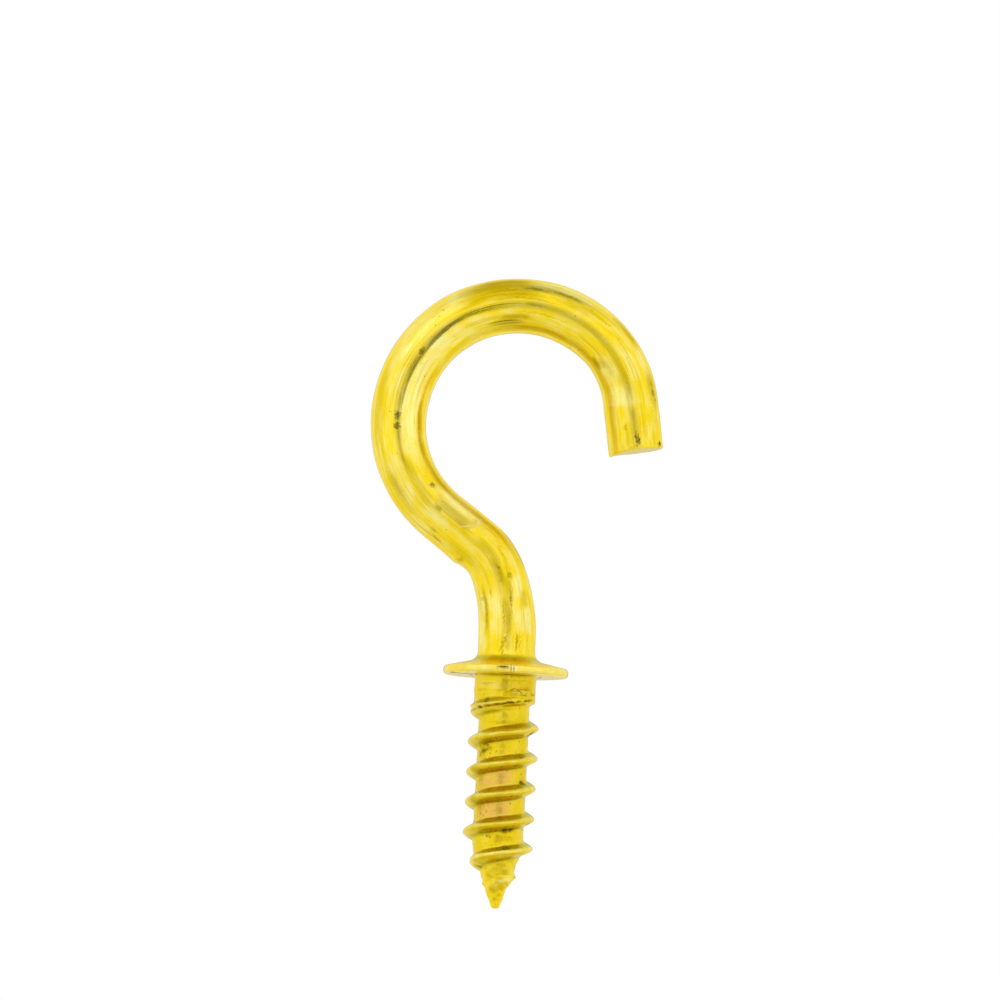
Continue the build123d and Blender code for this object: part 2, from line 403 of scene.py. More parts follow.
# Finish of the thread, as shares from 0 to 1
threadFinish = {
    "flankShade": 0.7,  # painted shade on the upper flank
    "rootShade": 0.45,  # painted shade at the foot of the lower flank
    # amber painted shade under the ridge
    "underShade": 0.75,
    # painted highlight along the crest
    "crestHighlight": 0.9,
    "crestAt": 0.12,  # height of the painted highlight over the crest line, and its reach
    "crestReach": 0.11,
    "tipHighlight": 0.9,  # painted highlight at either side
    "crestPolish": 0.45,
    "smoothFlank": 0.85,  # how much less pitted than the core
}


# screw strip: one ribbon a pitch wide wound down the screw, so that the ridge runs along the grid
def screwStrip():
    columns = int(round(grid["turns"] * around))
    k = np.arange(columns + 1)[:, None]
    above, below, crest = (screw[name] / screw["pitch"] for name in ("rootAbove", "rootBelow", "crestHalf"))
    bounds = [0, 0.5 - above, 0.5 - crest, 0.5 + crest, 0.5 + below, 1]
    spans = zip(bounds, bounds[1:], grid["ribbonRows"])
    w = np.concatenate([np.linspace(a, b, n)[:-1] for a, b, n in spans] + [bounds[-1:]])[None]
    top, pitch = screw["firstCrest"], screw["pitch"]
    upper = top - pitch * np.maximum(k - around, 0) / around
    lower = top - pitch * np.minimum(k, columns - around) / around
    z = upper + (lower - upper) * w
    phi = math.pi - 2 * math.pi * k / around + 0 * z
    crestLine = top + pitch / 2 - pitch * k / around

    # the ridge rises over a turn, dies out on the point and is a little uneven
    started = smoothStep(*screw["runIn"], k / around)
    dying = smoothStep(screw["gone"], screw["fullUntil"], crestLine)
    joined = smoothStep(0, screw["joinHeight"], top - z)
    clear = smoothStep(0, screw["clearHeight"], top - z)
    off = z - crestLine - ripple(crestLine, phi, 5, 7, 2, 9, 0) * screw["wobble"]
    shape = ridgeShape(off)
    ridge = shape * started * dying * joined
    ridge = ridge * (1 + screw["uneven"] * ripple(crestLine, phi, 11, 6, 1, 14, 0))
    ragged = ripple(crestLine * 6, phi, 21, 9, 3, 16, 0)
    broken = 0.75 + 0.35 * ragged
    crack, rough = screw["fold"], screw["rough"]
    foldShare = smoothStep(*crack["start"], k / around) * (1 - smoothStep(*crack["stop"], k / around))
    line = hump(off - crack["jag"] * ragged + crack["drop"], crack["width"])
    fold = foldShare * line * np.clip(broken, 0.2, 1.3)
    coarse = rough["core"] + rough["point"] * smoothStep(*rough["start"], z)
    skin = ripple(z, phi, 31, 14, 3, 16, 9) * coarse
    radius = coreRadius(z, phi) + screw["depth"] * ridge - crack["depth"] * fold + skin * clear
    radius = radius + bumpAt(z, phi) * clear

    # painted shade on the flanks and roots, amber painted shade under the ridge, painted highlight along the
    # crest and at the sides
    wear = threadFinish
    there = smoothStep(0.1, 0.6, started) * smoothStep(0, 0.2, dying) * joined
    topFlank = smoothStep(0.02, 0.22, shape) * (1 - smoothStep(0.55, 0.85, shape))
    underside = smoothStep(0.05, -0.04, off) * smoothStep(0.0, 0.12, shape) * there
    root = smoothStep(0.0, 0.1, shape) * (1 - smoothStep(0.3, 0.6, shape))
    crestShare = hump(off - wear["crestAt"], wear["crestReach"]) * there
    tips = np.cos(phi) ** 4
    finish = finishAt(z, phi)
    finish["streak"] = np.clip(fold * broken, 0, 1)
    paintedShade = np.where(off > 0, wear["flankShade"] * topFlank, wear["rootShade"] * root)
    finish["paintedShade"] = paintedShade * there * smoothStep(0.3, 0.9, dying)
    finish["amber"] = np.maximum(finish["amber"], wear["underShade"] * underside * (1 - 0.7 * tips))
    tipShare = wear["tipHighlight"] * tips * smoothStep(0.5, 0.9, shape) * there
    pale = np.maximum(wear["crestHighlight"] * crestShare, tipShare)
    finish["paleAndHighlight"] = np.maximum(finish["paleAndHighlight"], pale)
    finish["copper"] = finish["copper"] * (1 - smoothStep(0.02, 0.2, ridge))
    finish["polish"] = finish["polish"] + wear["crestPolish"] * crestShare
    ridged = wear["smoothFlank"] * smoothStep(0.15, 0.6, shape) * there
    finish["crackle"] = finish["crackle"] * (1 - ridged)
    for angle, height, reach, strength in screw["pits"]:
        spot = hump(angleFrom(phi, angle) / radian * radius, reach) * hump(z - height, reach * 0.6)
        radius = radius - screw["pitDepth"] * spot * strength
        finish["streak"] = np.clip(np.maximum(finish["streak"], spot * strength), 0, 1)
    return phi, z, radius, finish, columns, w.shape[1] - 1


# point rows: taper from the end of the ribbon down to the rounded tip
def pointRows(startZ):
    tipZ = -screw["length"]
    taper = np.linspace(startZ, tipZ + screw["tipRise"], grid["taperRows"])
    t = np.linspace(0, math.pi / 2, grid["tipRows"])[1:-1]
    z = np.concatenate([taper, tipZ + screw["tipRise"] * (1 - np.sin(t))])[:, None] + 0 * angles
    base = np.concatenate([coreRadius(taper, np.pi), screw["tipRadius"] * np.cos(t)])[:, None]
    rough = screw["rough"]
    fade = 1 - smoothStep(*rough["stop"], z)
    skin = ripple(z, angles, 31, 14, 3, 16, 9) * (rough["core"] + rough["point"]) * fade
    return z, base + skin + bumpAt(z, angles) * fade, finishAt(z, angles)


# hook rows: the turned outline of shank top and collar, then the wire along its line, then the sheared end
def hookRows():
    outline = roundedOutline([
        (screw["shankRadius"], screw["firstCrest"]),
        (screw["shankRadius"], 0, collar["flare"]),
        (collar["radius"], 0, collar["rimRound"]),
        (collar["radius"], collar["edge"], collar["rimRound"]),
        (wire["radius"], collar["edge"] + collar["rise"], collar["neckFillet"]),
        (wire["radius"], wire["filletTop"]),
    ], grid["fine"])
    total = wireLine(np.zeros(1))[3]
    end = total - wire["endRound"]
    s = np.concatenate([
        np.arange(wire["filletTop"] + grid["fine"], grid["fineUntil"], grid["fine"]),
        np.arange(grid["fineUntil"], end - grid["fineEnd"], grid["coarse"]),
        np.linspace(end - grid["fineEnd"], end, grid["endRows"]),
    ])
    t = np.linspace(0, math.pi / 2, grid["edgeRows"])[1:]
    edge = end + wire["endRound"] * np.sin(t)
    edgeRadius = wire["radius"] - wire["endRound"] * (1 - np.cos(t))
    lid = np.linspace(edgeRadius[-1], 0, grid["lidRows"])[1:-1]
    along = np.concatenate([s, edge, np.full(len(lid), total)])
    x, z, heading, _ = wireLine(along)
    turned = len(outline)
    rows = {
        "x": np.concatenate([np.zeros(turned), x]),
        "z": np.concatenate([outline[:, 1], z]),
        "heading": np.concatenate([np.full(turned, math.pi / 2), heading]),
        "radius": np.concatenate([outline[:, 0], np.full(len(s), wire["radius"]), edgeRadius, lid]),
        "s": np.concatenate([outline[:, 1], along]),
        "turned": turned,
        "lid": turned + len(s) + len(edge),
        "total": float(total),
        "end": (float(x[-1]), float(z[-1])),
    }
    return {k: v[:, None] if isinstance(v, np.ndarray) else v for k, v in rows.items()}


# wire shape: the plain radius with swellings, waviness and the ledge added, cut by the tool's flat, less
# the creases; gives the shares of drawn wire, flat and lip as well
def wireShape(rows):
    s, phi, turned = rows["s"], angles[None], rows["turned"]
    drawnEnd = smoothStep(rows["total"] - wire["drawnStop"], rows["total"], s)
    wireShare = smoothStep(*wire["drawnFrom"], s) * (1 - drawnEnd)
    wireShare[:turned] = smoothStep(*wire["neckDrawnFrom"], rows["z"][:turned])
    radius = rows["radius"] + 0 * phi
    for angle, angleReach, middle, reach, height in wire["swells"]:
        near = hump(angleFrom(phi, angle), angleReach)
        radius = radius + wireShare * height * near * hump(s - middle, reach)
    radius = radius + wireShare * wire["waviness"] * ripple(s, phi, 41, 12, 0.5, 3.5, 6)
    ledge = wire["ledge"]
    past = s - ledge["at"]
    step = smoothStep(-ledge["edge"], ledge["edge"], past) * hump(past, ledge["run"])
    radius = radius + ledge["rise"] * (step * hump(angleFrom(phi, ledge["angle"]), ledge["reach"]))

    flat = wire["flat"]
    away = np.abs(s - flat["middle"]) / flat["half"]
    depth = flat["depth"] * (1 - np.clip(away, 0, 1.3) ** 4)
    turn = np.radians(np.clip(np.abs(angleFrom(phi, flat["angle"])), 0, flat["steepest"]))
    plane = (wire["radius"] - depth) / np.cos(turn)
    cut = softMin(radius, plane, flat["blend"])
    flatShare = smoothStep(0.004, flat["blend"], radius - plane) * wireShare
    rim = hump(radius - plane + flat["lipWidth"], flat["lipWidth"])
    lip = rim * hump(away - flat["lipAt"], flat["lipReach"]) * (s < flat["middle"])
    radius = np.where(wireShare > 0.5, cut, radius) + flat["lip"] * lip * wireShare

    jag = wire["creaseJag"] * ripple(s, phi, 51, 10, 4, 26, 0)
    crease = 0 * radius
    for angle, half, start, stop, strength, *_ in marks["golds"]:
        if wire["creased"][0] < start < wire["creased"][1]:
            length = smoothStep(start, start + wire["creaseRunOut"], s)
            length = length * (1 - smoothStep(stop - wire["creaseRunOut"], stop, s))
            crease = np.maximum(crease, strength * length * hump(angleFrom(phi, angle) + jag, half))
    radius = radius - wire["creaseDepth"] * crease * wireShare
    low = rows["z"][:turned]
    radius[:turned] = radius[:turned] + bumpAt(low, phi) * (1 - smoothStep(*screw["shankTop"], low))
    return radius, wireShare, flatShare, lip


# Finish of the collar and the wire: heights from the seat, radii, places along the wire, shares from 0 to 1
hookFinish = {
    "flatScuff": 0.12,
    # painted highlight along the lip of the tool's flat
    "lipHighlight": 0.9,
    "seat": {"reach": 0.05, "beyond": 1.95, "scuff": 0.8},
    "foot": {"at": 0.92, "reach": 0.14, "within": 2.2, "paintedShade": 0.5, "amber": 0.8},  # of the neck; painted shade in the fillet at its foot, in olive and amber
    # painted shade on the cone above the rim
    "cone": {"start": (0.52, 0.64), "stop": (0.9, 1.0), "paintedShade": 0.26},
    "under": {"at": -0.05, "reach": 0.12, "within": 2.1, "paintedShade": 0.4},  # where the shank meets the seat; painted shade under the collar
    "polish": {"neck": 0.2, "neckStop": (5.5, 7.5), "crownStart": (12.5, 15.5), "noseStart": (23.5, 26.5),
               "nose": 0.15, "collar": 0.25, "rim": 0.75, "rimStart": (-0.25, 0.02), "rimStop": (0.46, 0.56)},
}


# hook finish: the tints, with scuffs on flat, seat and end, painted shade at the neck's foot, on the cone and
# under the collar, and polish by the place
def finishHook(rows):
    radius, wireShare, flatShare, lip = wireShape(rows)
    s, turned = rows["s"], rows["turned"]
    low, girth = rows["z"][:turned], rows["radius"][:turned]
    names = ("seat", "foot", "cone", "under", "polish")
    seat, foot, cone, under, gloss = (hookFinish[name] for name in names)
    finish = finishAt(s, angles[None])
    worn = np.zeros_like(radius)
    worn[:turned] = seat["scuff"] * (hump(low, seat["reach"]) * (girth > seat["beyond"]))
    worn[rows["lid"] - 2:] = 1
    finish["scuff"] = np.maximum(hookFinish["flatScuff"] * flatShare, worn)
    lipShare = hookFinish["lipHighlight"] * np.clip(lip * 2, 0, 1) * wireShare
    finish["paleAndHighlight"] = np.maximum(finish["paleAndHighlight"], lipShare)
    footShare = hump(low - foot["at"], foot["reach"]) * (girth < foot["within"])
    coneShare = cone["paintedShade"] * smoothStep(*cone["start"], low) * (1 - smoothStep(*cone["stop"], low))
    underShare = under["paintedShade"] * hump(low - under["at"], under["reach"]) * (girth < under["within"])
    # painted shade at the neck's foot, on the cone and under the collar; amber painted shade at the foot
    finish["paintedShade"][:turned] = np.maximum(np.maximum(foot["paintedShade"] * footShare, coneShare), underShare)
    finish["amber"][:turned] = np.maximum(finish["amber"][:turned], foot["amber"] * footShare)
    nose = smoothStep(*gloss["noseStart"], s)
    crown = smoothStep(*gloss["crownStart"], s) * (1 - nose)
    polish = gloss["neck"] * (1 - smoothStep(*gloss["neckStop"], s)) + crown
    finish["polish"] = polish + gloss["nose"] * nose + 0 * radius
    rim = gloss["rim"] * smoothStep(*gloss["rimStart"], low) * (1 - smoothStep(*gloss["rimStop"], low))
    finish["polish"][:turned] = gloss["collar"] + rim
    finish["drawing"] = wireShare + 0 * radius
    return radius, finish


# burr: the sheared edge drawn out along the wire on its inner side, and a little unevenness of the cut
def burrAt(rows):
    burr = wire["burr"]
    reach = smoothStep(rows["total"] - burr["start"], rows["total"], rows["s"])
    share = hump(angleFrom(angles[None], burr["angle"]), burr["reach"]) * burr["length"]
    share = share + burr["uneven"] * ripple(rows["s"] * 0, angles[None], 61, 8, 0, 1, 9)
    return reach * share * (rows["radius"] / wire["radius"]) ** 2


# turned points: a radius at each angle about the axis, at its height
def turnedPoints(radius, phi, z):
    return np.stack([radius * np.cos(phi), radius * np.sin(phi), z + 0 * radius], -1)


# object: named data put into the scene
def addObject(name, data):
    made = bpy.data.objects.new(name, data)
    bpy.context.scene.collection.objects.link(made)
    return made


# quads: four arrays of corners, one after another round each face
def quadsOf(a, b, c, d):
    return np.stack([a, b, c, d], -1).reshape(-1, 4)


# brass mesh: ribbon, point rings and hook rings share their rims; the two poles close it
def buildHook():
    phiS, zS, radiusS, finishS, columns, across = screwStrip()
    zA, radiusA, finishA = pointRows(zS[-1, 0])
    rows = hookRows()
    radiusC, finishC = finishHook(rows)
    drawnA = turnedPoints(radiusA, angles, zA)
    drawnC = turnedPoints(radiusC, angles, rows["s"])
    drawnS = turnedPoints(radiusS, phiS, zS)
    ringsA, strip = drawnA.copy(), drawnS.copy()
    ringsA[..., 0] += bowAt(zA)
    strip[..., 0] += bowAt(zS)
    sin, cos = np.sin(rows["heading"]), np.cos(rows["heading"])
    slant = burrAt(rows)
    bow = bowAt(rows["z"]) * (rows["s"] < screw["bowUntil"])
    ringsC = np.stack([
        rows["x"] + radiusC * np.cos(angles) * sin + bow + slant * cos,
        radiusC * np.sin(angles),
        rows["z"] - radiusC * np.cos(angles) * cos + slant * sin,
    ], -1)

    # numbers of the points: the point's rings, the hook's rings, then the ribbon's own points between
    nA, nC = len(zA), len(rows["z"])
    idA = np.arange(nA * around).reshape(nA, around)
    idC = idA[-1, -1] + 1 + np.arange(nC * around).reshape(nC, around)
    idS = np.full((columns + 1, across + 1), -1)
    k = np.arange(columns + 1)
    own = np.zeros(idS.shape, bool)
    own[1:-1, 1:-1] = True
    own[around + 1:-1, 0] = True
    idS[own] = idC[-1, -1] + 1 + np.arange(own.sum())
    idS[:around + 1, 0] = idC[0, k[:around + 1] % around]
    idS[columns - around:, -1] = idA[0, k[columns - around:] % around]
    idS[0] = idC[0, 0]
    idS[-1] = idA[0, columns % around]
    idS[1:columns - around, -1] = idS[around + 1:columns, 0]
    tip, face = idS.max() + 1, idS.max() + 2
    poles = [[0, 0, -screw["length"]], [rows["end"][0], 0, rows["end"][1]]]
    points = np.concatenate([ringsA.reshape(-1, 3), ringsC.reshape(-1, 3), strip[own], poles])

    nextA, nextC = np.roll(idA, -1, 1), np.roll(idC, -1, 1)
    faces = np.concatenate([
        quadsOf(idS[:-1, :-1], idS[1:, :-1], idS[1:, 1:], idS[:-1, 1:]),
        quadsOf(idA[:-1], nextA[:-1], nextA[1:], idA[1:]),
        quadsOf(idC[1:], nextC[1:], nextC[:-1], idC[:-1]),
    ])
    caps = np.concatenate([
        np.stack([idA[-1], nextA[-1], np.full(around, tip)], -1),
        np.stack([nextC[-1], idC[-1], np.full(around, face)], -1),
    ])
    # at the ribbon's two ends a quad has one corner twice, and becomes a triangle
    same = faces == np.roll(faces, -1, 1)
    whole = faces[~same.any(1)]
    pinched = faces[same.sum(1) == 1]
    keep = ~(pinched == np.roll(pinched, -1, 1))
    caps = np.concatenate([caps, pinched[keep].reshape(-1, 3)])
    mesh = bpy.data.meshes.new("brassHook")
    mesh.from_pydata((points * mm).tolist(), [], whole.tolist() + caps.tolist())
    mesh.polygons.foreach_set("use_smooth", np.ones(len(mesh.polygons), bool))

    # each finish is an attribute of its own, and drawn is the place on the unbent wire
    for name in finishS:
        values = np.concatenate([finishA[name].ravel(), finishC[name].ravel(), finishS[name][own], [0, 0]])
        layer = mesh.attributes.new(name, "FLOAT", "POINT")
        layer.data.foreach_set("value", values.astype(np.float32))
    drawnPoles = [[0, 0, -screw["length"]], [0, 0, rows["total"]]]
    drawn = np.concatenate([drawnA.reshape(-1, 3), drawnC.reshape(-1, 3), drawnS[own], drawnPoles])
    layer = mesh.attributes.new("drawn", "FLOAT_VECTOR", "POINT")
    layer.data.foreach_set("vector", drawn.astype(np.float32).ravel())
    mesh.update()
    hook = addObject("brassHook", mesh)
    print("cup hook: mesh", len(points), "points,", 2 * len(whole) + len(caps), "triangles")
    return hook


hook = buildHook()
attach(hook, "root")
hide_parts("cup_hook")


# add node: makes a shader node, sets its own values and links its inputs that come from other nodes
def addNode(tree, kind, inputs=None, **settings):
    node = tree.nodes.new("ShaderNode" + kind)
    for name, value in settings.items():
        setattr(node, name, value)
    for name, value in (inputs or {}).items():
        if isinstance(value, bpy.types.NodeSocket):
            tree.links.new(value, node.inputs[name])
        else:
            node.inputs[name].default_value = value
    return node


# arithmetic on two values
def mathOf(tree, operation, a, b=0.0, clamp=False):
    return addNode(tree, "Math", {0: a, 1: b}, operation=operation, use_clamp=clamp).outputs[0]


# product of two values
def times(tree, a, b):
    return mathOf(tree, "MULTIPLY", a, b)


# larger of two values
def most(tree, a, b):
    return mathOf(tree, "MAXIMUM", a, b)


# noise over stretched coordinates, 0 to 1
def noiseOf(tree, place, stretch, detail, roughness):
    scaled = addNode(tree, "VectorMath", {0: place, 1: stretch}, operation="MULTIPLY").outputs[0]
    return addNode(tree, "TexNoise", {"Vector": scaled, "Scale": 1.0, "Detail": detail,
                                                "Roughness": roughness}).outputs[0]


# map range: the range from low to high is stretched to another, and the value stays inside it
def between(tree, value, low, high, toLow, toHigh):
    return addNode(tree, "MapRange", {0: value, 1: low, 2: high, 3: toLow, 4: toHigh}).outputs[0]


# mix of two colours by a share
def mixOf(tree, share, a, b):
    return addNode(tree, "Mix", {0: share, 6: a, 7: b}, data_type="RGBA").outputs[2]


# mark: full in the middle of an ellipse given by angle, half width and start and end along the wire, then
# fading; it may lean by some degrees for each millimetre along
def markOf(tree, turn, along, angle, half, start, stop, strength, lean=0.0):
    past = mathOf(tree, "SUBTRACT", along, (start + stop) / 2)
    aside = mathOf(tree, "SUBTRACT", turn, angle)
    if lean:
        aside = mathOf(tree, "SUBTRACT", aside, times(tree, past, lean))
    aside = mathOf(tree, "DIVIDE", aside, half)
    past = mathOf(tree, "DIVIDE", past, (stop - start) / 2)
    apart = mathOf(tree, "ADD", times(tree, aside, aside), times(tree, past, past))
    return between(tree, apart, 1.2, 0.1, 0.0, strength)


# marks together: the strongest of a list of marks at each place
def marksOf(tree, turn, along, listed, total=0.0):
    for mark in listed:
        total = most(tree, total, markOf(tree, turn, along, *mark))
    return total


# Brass as drawn, with its finishes
brass = {
    "deep": (0.98, 0.733, 0.014, 1),
    "pale": (0.995, 0.885, 0.26, 1),
    "paleLineColor": (0.98, 0.88, 0.32, 1),
    "amber": (0.66, 0.462, 0.002, 1),
    "gold": (0.49, 0.335, 0.001, 1),
    "dull": (0.72, 0.55, 0.012, 1),
    "hazeAndReflection": (0.52, 0.41, 0.025, 1),
    # olive: painted shade on the thread's flanks and roots and round the collar
    "olive": (0.38, 0.39, 0.004, 1),
    # soot: dark spots, cracks and pits, with the painted reflection of the dark lens and painted shade under
    # the collar
    "sootAndPaintedShade": (0.085, 0.066, 0.006, 1),
    "pit": (0.25, 0.17, 0.004, 1),
    "copper": (0.84, 0.475, 0.115, 1),
    "scuff": (0.99, 0.85, 0.36, 1),
    "edge": (1.0, 0.95, 0.75, 1),
    "smooth": 0.07,  # roughness where polished, and how much more where not
    "rougher": 0.28,
    "noises": {  # stretch across and along the wire, detail, roughness
        "lines": ((13, 13, 0.14), 5, 0.62),
        "fine": ((26, 26, 0.9), 3, 0.6),
        "patch": ((2.2, 2.2, 0.8), 4, 0.6),
        "bands": ((4.2, 4.2, 0.22), 4, 0.6),
        "grain": ((4, 4, 4), 4, 0.6),
        "speck": ((5.5, 5.5, 4.0), 2, 0.5),
        "pits": ((5, 5, 5), 2, 0.5),
    },
    "layers": {  # for each colour its shares: mask, noise, range of the noise, range of the share
        "amber": [("drawing", "bands", 0.46, 0.36, 0.0, 0.5), ("amber", "patch", 0.4, 0.65, 1.0, 0.7)],
        "dull": [("drawing", "lines", 0.50, 0.28, 0.0, 0.5), ("crackle", "grain", 0.5, 0.34, 0.0, 0.6)],
        "copper": [("copper", "grain", 0.32, 0.55, 0.35, 0.95)],
        "hazeAndReflection": [("hazeAndReflection", "fine", 0.35, 0.6, 0.6, 1.0)],
        "scuff": [("scuff", "grain", 0.25, 0.6, 0.7, 1.0)],
    },
    "raggedTurn": 4.0,  # most shift of ragged marks, in degrees and millimetres
    "raggedSlide": 0.16,
    "raggedOnScrew": 0.3,  # share of the slide on the screw
    "bumpHeight": 0.00002,
    "bumpStrength": 0.5,
}


# brass tints: deep brass mixed with pale where pale or painted highlight, then with each layer's colour by
# the strongest of its shares, each a mask on the mesh times a noise, and last with olive painted shade; gives
# the colour and the last share, of scuffs
def tintNodes(tree, masks, noise):
    paleAndHighlight = times(tree, masks["paleAndHighlight"], between(tree, noise["patch"], 0.34, 0.6, 0.45, 1.0))
    patches = between(tree, noise["patch"], 0.44, 0.72, 0.0, 0.6)
    pale = mathOf(tree, "ADD", patches, between(tree, noise["lines"], 0.5, 0.8, 0.0, 0.3))
    pale = times(tree, pale, between(tree, masks["drawing"], 0.0, 1.0, 0.35, 1.0))
    color = mixOf(tree, mathOf(tree, "ADD", pale, paleAndHighlight, True), brass["deep"], brass["pale"])
    for name, parts in brass["layers"].items():
        share = 0.0
        for mask, kind, *levels in parts:
            part = times(tree, masks[mask], between(tree, noise[kind], *levels))
            share = most(tree, share, part)
        color = mixOf(tree, share, color, brass[name])
    return mixOf(tree, masks["paintedShade"], color, brass["olive"]), share


# brass marks: golden lines, pale lines, pits and dark marks mixed into a colour, with the painted reflection
# of the dark lens and painted shade among the dark and pale marks; a noise shifts the place to make some
# edges ragged; gives the colour and the shares of dark marks, pits, and soil with painted shade
def markNodes(tree, color, drawn, masks, noise):
    sides = addNode(tree, "SeparateXYZ", {0: drawn}).outputs
    shifts = addNode(tree, "TexNoise", {"Vector": drawn, "Scale": 5.0, "Detail": 3.0,
                                                  "Roughness": 0.65})
    shift = addNode(tree, "SeparateXYZ", {0: shifts.outputs["Color"]}).outputs
    plainTurn = times(tree, mathOf(tree, "ARCTAN2", sides[1], sides[0]), math.degrees(1))
    ragged, slid = brass["raggedTurn"], brass["raggedSlide"]
    turn = mathOf(tree, "ADD", plainTurn, between(tree, shift[0], 0.2, 0.8, -ragged, ragged))
    reach = between(tree, masks["drawing"], 0.0, 1.0, brass["raggedOnScrew"], 1.0)
    slide = times(tree, between(tree, shift[1], 0.2, 0.8, -slid, slid), reach)
    along = mathOf(tree, "ADD", sides[2], slide)
    gold = marksOf(tree, turn, along, marks["golds"])
    color = mixOf(tree, times(tree, gold, 0.8), color, brass["gold"])
    color = mixOf(tree, marksOf(tree, plainTurn, sides[2], marks["paleLines"]), color, brass["paleLineColor"])
    dark = marksOf(tree, turn, along, marks["spots"], masks["streak"])
    dark = marksOf(tree, plainTurn, sides[2], marks["darkLines"], dark)
    broken = between(tree, mathOf(tree, "ADD", noise["fine"], noise["grain"]), 0.8, 1.1, 0.65, 1.0)
    dark = times(tree, dark, broken)
    dots = between(tree, noise["speck"], 0.71, 0.80, 0.0, 0.22)
    pitted = mathOf(tree, "ADD", noise["pits"], times(tree, masks["crackle"], 0.17))
    pitted = between(tree, pitted, 0.71, 0.79, 0.0, 0.7)
    color = mixOf(tree, pitted, color, brass["pit"])
    soilAndShade = most(tree, dark, dots)
    return mixOf(tree, soilAndShade, color, brass["sootAndPaintedShade"]), dark, pitted, soilAndShade


# brass: tints, then marks, as the colour of a metal, with painted shade, highlights and reflections among
# them;
# rougher where less polished, scuffed, soiled or painted dark; the bump is drawn lines on the wire and grain
# on the screw, less the marks and pits
def brassMaterial():
    material = bpy.data.materials.new("drawnBrass")
    material.use_nodes = True
    tree = material.node_tree
    shader = tree.nodes["Principled BSDF"]
    drawn = addNode(tree, "Attribute", attribute_name="drawn").outputs["Vector"]
    names = [*tints, *plainFinish]
    masks = {name: addNode(tree, "Attribute", attribute_name=name).outputs["Fac"] for name in names}
    noise = {name: noiseOf(tree, drawn, *values) for name, values in brass["noises"].items()}
    color, scuff = tintNodes(tree, masks, noise)
    color, dark, pitted, soilAndShade = markNodes(tree, color, drawn, masks, noise)
    tree.links.new(color, shader.inputs["Base Color"])

    rough = between(tree, masks["polish"], 0.0, 1.0, brass["smooth"] + brass["rougher"], brass["smooth"])
    rough = mathOf(tree, "ADD", rough, between(tree, noise["fine"], 0.3, 0.7, 0.0, 0.05))
    rough = mathOf(tree, "ADD", rough, times(tree, most(tree, scuff, soilAndShade), 0.25))
    tree.links.new(rough, shader.inputs["Roughness"])

    lineHeight = times(tree, noise["lines"], 0.6)
    wireHeight = mathOf(tree, "ADD", lineHeight, times(tree, noise["fine"], 0.2))
    screwHeight = times(tree, noise["grain"], 2.5)
    height = addNode(tree, "Mix", {0: masks["drawing"], 2: screwHeight, 3: wireHeight}).outputs[0]
    sunk = times(tree, most(tree, dark, pitted), 0.8)
    height = mathOf(tree, "SUBTRACT", height, sunk)
    bump = addNode(tree, "Bump", {"Height": height, "Strength": brass["bumpStrength"],
                                            "Distance": brass["bumpHeight"]})
    tree.links.new(bump.outputs[0], shader.inputs["Normal"])
    shader.inputs["Metallic"].default_value = 1.0
    shader.inputs["Specular Tint"].default_value = brass["edge"]
    return material


hook.data.materials.append(brassMaterial())
print("cup hook: brass finished")

# Camera: straight on, a little from below, rolled as the hook leans
view = {
    "target": (-0.612, 0.0, 9.768),  # millimetres, the middle of the frame
    "elevation": -4.8,
    "roll": 2.27,
    "distance": 400.0,
    "frameWidth": 55.45,  # millimetres across the frame at the hook
    "sensor": 36,
}


# camera: looks along +Y tilted by the elevation, from its distance before the target; the lens is the
# sensor's width times the distance over the frame's width
def addCamera():
    tilt, roll = math.radians(view["elevation"]), math.radians(view["roll"])
    ahead, upright = np.array([0, 1, 0]), np.array([-math.sin(roll), 0, math.cos(roll)])
    forward = ahead * math.cos(tilt) - upright * math.sin(tilt)
    up = upright * math.cos(tilt) + ahead * math.sin(tilt)
    place = np.array(view["target"]) - view["distance"] * forward
    data = bpy.data.cameras.new("camera")
    data.sensor_width = view["sensor"]
    data.lens = data.sensor_width * view["distance"] / view["frameWidth"]
    data.clip_start = 0.01
    camera = addObject("camera", data)
    matrix = np.eye(4)
    matrix[:3] = np.stack([np.cross(forward, up), up, -forward, place * mm], 1)
    camera.matrix_world = Matrix(matrix.tolist())
    bpy.context.scene.camera = camera


addCamera()

# White tent: bright at both sides, dimmer above and below, with dark round openings at front and back
tent = {
    "opening": (0.0, -0.998, -0.061),
    # degrees from the front opening, brightness
    "levels": [(0, 0.12), (5, 0.16), (8, 0.52), (12, 0.88), (20, 1.05), (63, 1.09), (76, 1.02), (98, 0.98),
               (116, 1.0), (150, 1.0), (162, 0.9), (170, 0.5), (175, 0.18), (180, 0.12)],
    "dims": [(2, 1, 0.30, 6), (2, -1, 0.12, 3)],  # axis, side, loss straight along it, sharpness
}


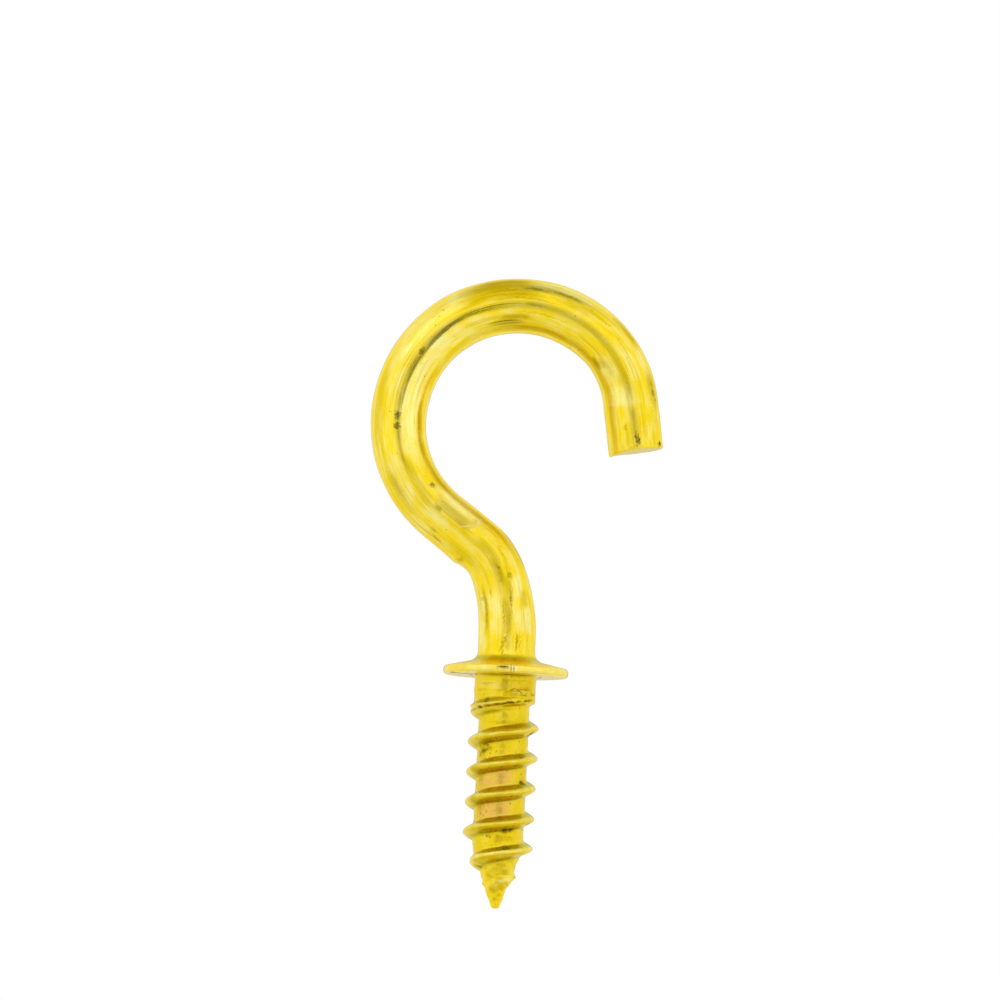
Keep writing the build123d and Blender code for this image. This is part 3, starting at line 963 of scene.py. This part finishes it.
# tent: brightness by the angle from the opening, times 1 less the losses up and down; white to the camera
def addTent():
    world = bpy.data.worlds.new("tent")
    bpy.context.scene.world = world
    world.use_nodes = True
    tree = world.node_tree
    tree.nodes.clear()
    place = addNode(tree, "TexCoord").outputs["Generated"]
    facing = addNode(tree, "VectorMath", {0: place, 1: tent["opening"]}, operation="DOT_PRODUCT")
    share = mathOf(tree, "DIVIDE", mathOf(tree, "ARCCOSINE", facing.outputs["Value"]), math.pi)
    ramp = addNode(tree, "ValToRGB", {0: share})
    elements = ramp.color_ramp.elements
    for _ in tent["levels"][2:]:
        elements.new(0.5)
    for element, (degrees, level) in zip(elements, tent["levels"]):
        element.position = degrees / 180
        element.color = (level, level, level, 1)
    axes = addNode(tree, "SeparateXYZ", {0: place}).outputs
    dims = 1.0
    for axis, sign, loss, sharpness in tent["dims"]:
        side = most(tree, times(tree, axes[axis], sign), 0.0)
        lost = times(tree, mathOf(tree, "POWER", side, sharpness), loss)
        dims = mathOf(tree, "SUBTRACT", dims, lost)
    level = times(tree, ramp.outputs[0], dims)
    path = addNode(tree, "LightPath").outputs["Is Camera Ray"]
    white = mixOf(tree, path, level, (1, 1, 1, 1))
    back = addNode(tree, "Background", {0: white})
    addNode(tree, "OutputWorld", {0: back.outputs[0]})


# Pale floor under the hook
floorPlan = {
    "drop": 0.034,
    "half": 0.3,
    "color": (0.93, 0.93, 0.93, 1),
    "glow": (0.84, 0.98),  # under the hook and away from it; the dimmer glow under the hook is a painted shadow in reflections
    "shade": (0.02, 0.05),  # distances over which the glow changes
    "seen": 0.5,  # share of glow to the camera, the rest takes the shadow
}


# floor: a flat square that glows by the distance from the axis, dimmer under the hook as a painted shadow,
# fully in reflections and half to the camera, where the rest is matt
def addFloor():
    half, drop = floorPlan["half"], floorPlan["drop"]
    corners = [(-half, -half, -drop), (half, -half, -drop), (half, half, -drop), (-half, half, -drop)]
    mesh = bpy.data.meshes.new("paleFloor")
    mesh.from_pydata(corners, [], [(0, 1, 2, 3)])
    floor = addObject("paleFloor", mesh)
    paint = bpy.data.materials.new("paleFloor")
    paint.use_nodes = True
    tree = paint.node_tree
    tree.nodes.clear()
    matt = addNode(tree, "BsdfDiffuse", {0: floorPlan["color"]})
    path = addNode(tree, "LightPath").outputs
    place = addNode(tree, "TexCoord").outputs["Object"]
    level = addNode(tree, "VectorMath", {0: place, 1: (1, 1, 0)}, operation="MULTIPLY").outputs[0]
    away = addNode(tree, "VectorMath", {0: level}, operation="LENGTH").outputs["Value"]
    shade = between(tree, away, *floorPlan["shade"], *floorPlan["glow"])
    strength = most(tree, shade, path["Is Camera Ray"])
    glow = addNode(tree, "Emission", {0: (1, 1, 1, 1), 1: strength})
    seen = times(tree, path["Is Camera Ray"], floorPlan["seen"])
    mirrored = most(tree, path["Is Glossy Ray"], path["Is Transmission Ray"])
    share = most(tree, seen, mirrored)
    blend = addNode(tree, "MixShader", {0: share, 1: matt.outputs[0], 2: glow.outputs[0]})
    addNode(tree, "OutputMaterial", {0: blend.outputs[0]})
    mesh.materials.append(paint)


# Soft lamp from the upper left
lampPlan = {"place": (-0.22, -0.30, 0.42), "aim": (0, 0, 0.005), "size": 0.4, "watts": 0.05}


# lamp: a square of light turned from its place to its aim
def addLamp():
    data = bpy.data.lights.new("softLamp", "AREA")
    data.size, data.energy = lampPlan["size"], lampPlan["watts"]
    lamp = addObject("softLamp", data)
    lamp.location = lampPlan["place"]
    aim = Vector(lampPlan["aim"]) - Vector(lampPlan["place"])
    lamp.rotation_euler = aim.to_track_quat("-Z", "Y").to_euler()


addTent()
addFloor()
addLamp()
print("cup hook: camera, tent, lamp and floor set")

bpy.context.scene.view_settings.view_transform = "Standard"
